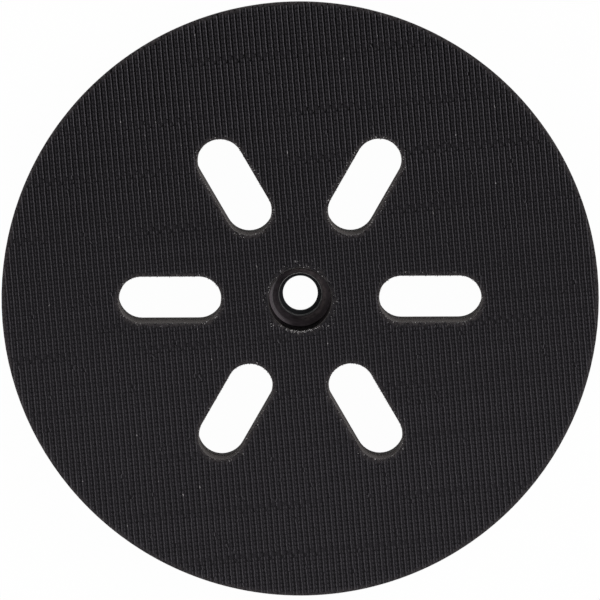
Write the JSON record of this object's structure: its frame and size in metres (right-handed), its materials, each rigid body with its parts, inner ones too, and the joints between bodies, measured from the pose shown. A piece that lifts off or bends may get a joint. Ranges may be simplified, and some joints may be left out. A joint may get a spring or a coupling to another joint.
{
  "type": "sander backing pad",
  "caption": "Round hook-faced backing pad of a random orbital sander: ribbed carrier plate, foam cushion, radial dust slots and a steel-bushed screw hole.",
  "frame": {"origin": "centre of the hub boss's rear rim, on which the pad lies when it is put down face up", "axes": "+Z out of the hook face along the screw's axis, +X along one dust slot"},
  "size_m": [0.15, 0.15, 0.0233],
  "materials": {
    "hook_cloth": "black woven nylon cloth with stiff monofilament hooks",
    "adhesive": "dark hot-melt film, satin",
    "foam": "charcoal moulded polyurethane foam with a fine skin",
    "moulding": "black glass-filled nylon, fine moulded grain",
    "bush_steel": "turned steel with a dark finish and a bright inner edge"
  },
  "bodies": {
    "carrier": {"carrier_plate": "moulding", "hub_bush": "bush_steel", "foam_cushion": "foam"},
    "face": {"hook_facing": "hook_cloth", "bond_film": "adhesive"}
  },
  "joints": [
    {"name": "face_press", "type": "slide", "parent": "carrier", "child": "face", "axis": [0, 0, -1], "range_m": [0, 0.002], "stiffness_N_per_m": 150000, "deforming": ["foam_cushion"]}
  ]
}
